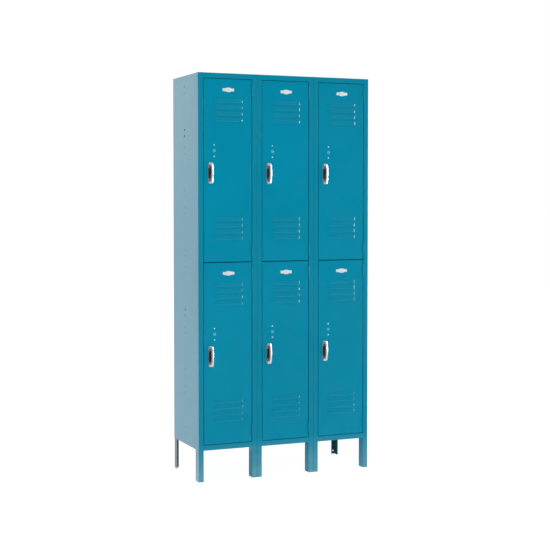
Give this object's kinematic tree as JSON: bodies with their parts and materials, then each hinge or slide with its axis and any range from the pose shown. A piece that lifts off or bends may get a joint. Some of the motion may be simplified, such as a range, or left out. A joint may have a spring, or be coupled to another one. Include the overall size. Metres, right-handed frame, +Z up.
{
  "type": "locker cabinet",
  "caption": "Freestanding sheet-steel locker cabinet on legs, with louvred hinged doors in two tiers, each with a chrome lift handle.",
  "frame": {"origin": "on the floor, at the centre of the overall box (handles and rear rivets included)", "axes": "+Z up, +X to the right as the doors are faced, +Y to the back; the doors face -Y"},
  "size_m": [0.915, 0.401, 1.9812],
  "materials": {
    "door_paint": "gloss",
    "frame_paint": "gloss",
    "body_paint": "gloss",
    "chrome": "polished",
    "bright_plate": "satin",
    "zinc": "satin",
    "rubber": "matte"
  },
  "bodies": {
    "cabinet": {"side_panel_left": "body_paint", "side_panel_right": "body_paint", "partition_left": "body_paint", "partition_right": "body_paint", "back_panel_left": "body_paint", "tier_shelf_left": "body_paint", "bottom_panel_left": "body_paint", "front_frame_left": "frame_paint", "back_panel_middle": "body_paint", "tier_shelf_middle": "body_paint", "bottom_panel_middle": "body_paint", "front_frame_middle": "frame_paint", "back_panel_right": "body_paint", "tier_shelf_right": "body_paint", "bottom_panel_right": "body_paint", "front_frame_right": "frame_paint", "top_panel": "body_paint", "rear_legs": "frame_paint", "coat_hooks": "zinc", "door_bumpers": "rubber", "hook_bolts": "zinc", "frame_rivets": "frame_paint", "hinge_frame_leaves": "frame_paint", "hinge_pins": "frame_paint"},
    "lower_left_door": {"door_lower_left": "door_paint", "hinge_door_leaves_lower_left": "door_paint", "face_plates_lower_left": "bright_plate", "handle_bezel_lower_left": "chrome"},
    "lower_left_latch": {"lift_handle_lower_left": "chrome", "lock_bar_lower_left": "zinc"},
    "upper_left_door": {"door_upper_left": "door_paint", "hinge_door_leaves_upper_left": "door_paint", "face_plates_upper_left": "bright_plate", "handle_bezel_upper_left": "chrome"},
    "upper_left_latch": {"lift_handle_upper_left": "chrome", "lock_bar_upper_left": "zinc"},
    "lower_middle_door": {"door_lower_middle": "door_paint", "hinge_door_leaves_lower_middle": "door_paint", "face_plates_lower_middle": "bright_plate", "handle_bezel_lower_middle": "chrome"},
    "lower_middle_latch": {"lift_handle_lower_middle": "chrome", "lock_bar_lower_middle": "zinc"},
    "upper_middle_door": {"door_upper_middle": "door_paint", "hinge_door_leaves_upper_middle": "door_paint", "face_plates_upper_middle": "bright_plate", "handle_bezel_upper_middle": "chrome"},
    "upper_middle_latch": {"lift_handle_upper_middle": "chrome", "lock_bar_upper_middle": "zinc"},
    "lower_right_door": {"door_lower_right": "door_paint", "hinge_door_leaves_lower_right": "door_paint", "face_plates_lower_right": "bright_plate", "handle_bezel_lower_right": "chrome"},
    "lower_right_latch": {"lift_handle_lower_right": "chrome", "lock_bar_lower_right": "zinc"},
    "upper_right_door": {"door_upper_right": "door_paint", "hinge_door_leaves_upper_right": "door_paint", "face_plates_upper_right": "bright_plate", "handle_bezel_upper_right": "chrome"},
    "upper_right_latch": {"lift_handle_upper_right": "chrome", "lock_bar_upper_right": "zinc"}
  },
  "joints": [
    {"name": "lower_left_door_swing", "type": "hinge", "parent": "cabinet", "child": "lower_left_door", "pos_m": [-0.1794, -0.1849, 0.6225], "axis": [0, 0, 1], "range_deg": [0, 110]},
    {"name": "lower_left_latch_lift", "type": "slide", "parent": "lower_left_door", "child": "lower_left_latch", "axis": [0, 0, 1], "range_m": [0, 0.012]},
    {"name": "upper_left_door_swing", "type": "hinge", "parent": "cabinet", "child": "upper_left_door", "pos_m": [-0.1794, -0.1849, 1.5111], "axis": [0, 0, 1], "range_deg": [0, 110]},
    {"name": "upper_left_latch_lift", "type": "slide", "parent": "upper_left_door", "child": "upper_left_latch", "axis": [0, 0, 1], "range_m": [0, 0.012]},
    {"name": "lower_middle_door_swing", "type": "hinge", "parent": "cabinet", "child": "lower_middle_door", "pos_m": [0.1254, -0.1849, 0.6225], "axis": [0, 0, 1], "range_deg": [0, 110]},
    {"name": "lower_middle_latch_lift", "type": "slide", "parent": "lower_middle_door", "child": "lower_middle_latch", "axis": [0, 0, 1], "range_m": [0, 0.012]},
    {"name": "upper_middle_door_swing", "type": "hinge", "parent": "cabinet", "child": "upper_middle_door", "pos_m": [0.1254, -0.1849, 1.5111], "axis": [0, 0, 1], "range_deg": [0, 110]},
    {"name": "upper_middle_latch_lift", "type": "slide", "parent": "upper_middle_door", "child": "upper_middle_latch", "axis": [0, 0, 1], "range_m": [0, 0.012]},
    {"name": "lower_right_door_swing", "type": "hinge", "parent": "cabinet", "child": "lower_right_door", "pos_m": [0.4302, -0.1849, 0.6225], "axis": [0, 0, 1], "range_deg": [0, 110]},
    {"name": "lower_right_latch_lift", "type": "slide", "parent": "lower_right_door", "child": "lower_right_latch", "axis": [0, 0, 1], "range_m": [0, 0.012]},
    {"name": "upper_right_door_swing", "type": "hinge", "parent": "cabinet", "child": "upper_right_door", "pos_m": [0.4302, -0.1849, 1.5111], "axis": [0, 0, 1], "range_deg": [0, 110]},
    {"name": "upper_right_latch_lift", "type": "slide", "parent": "upper_right_door", "child": "upper_right_latch", "axis": [0, 0, 1], "range_m": [0, 0.012]}
  ]
}
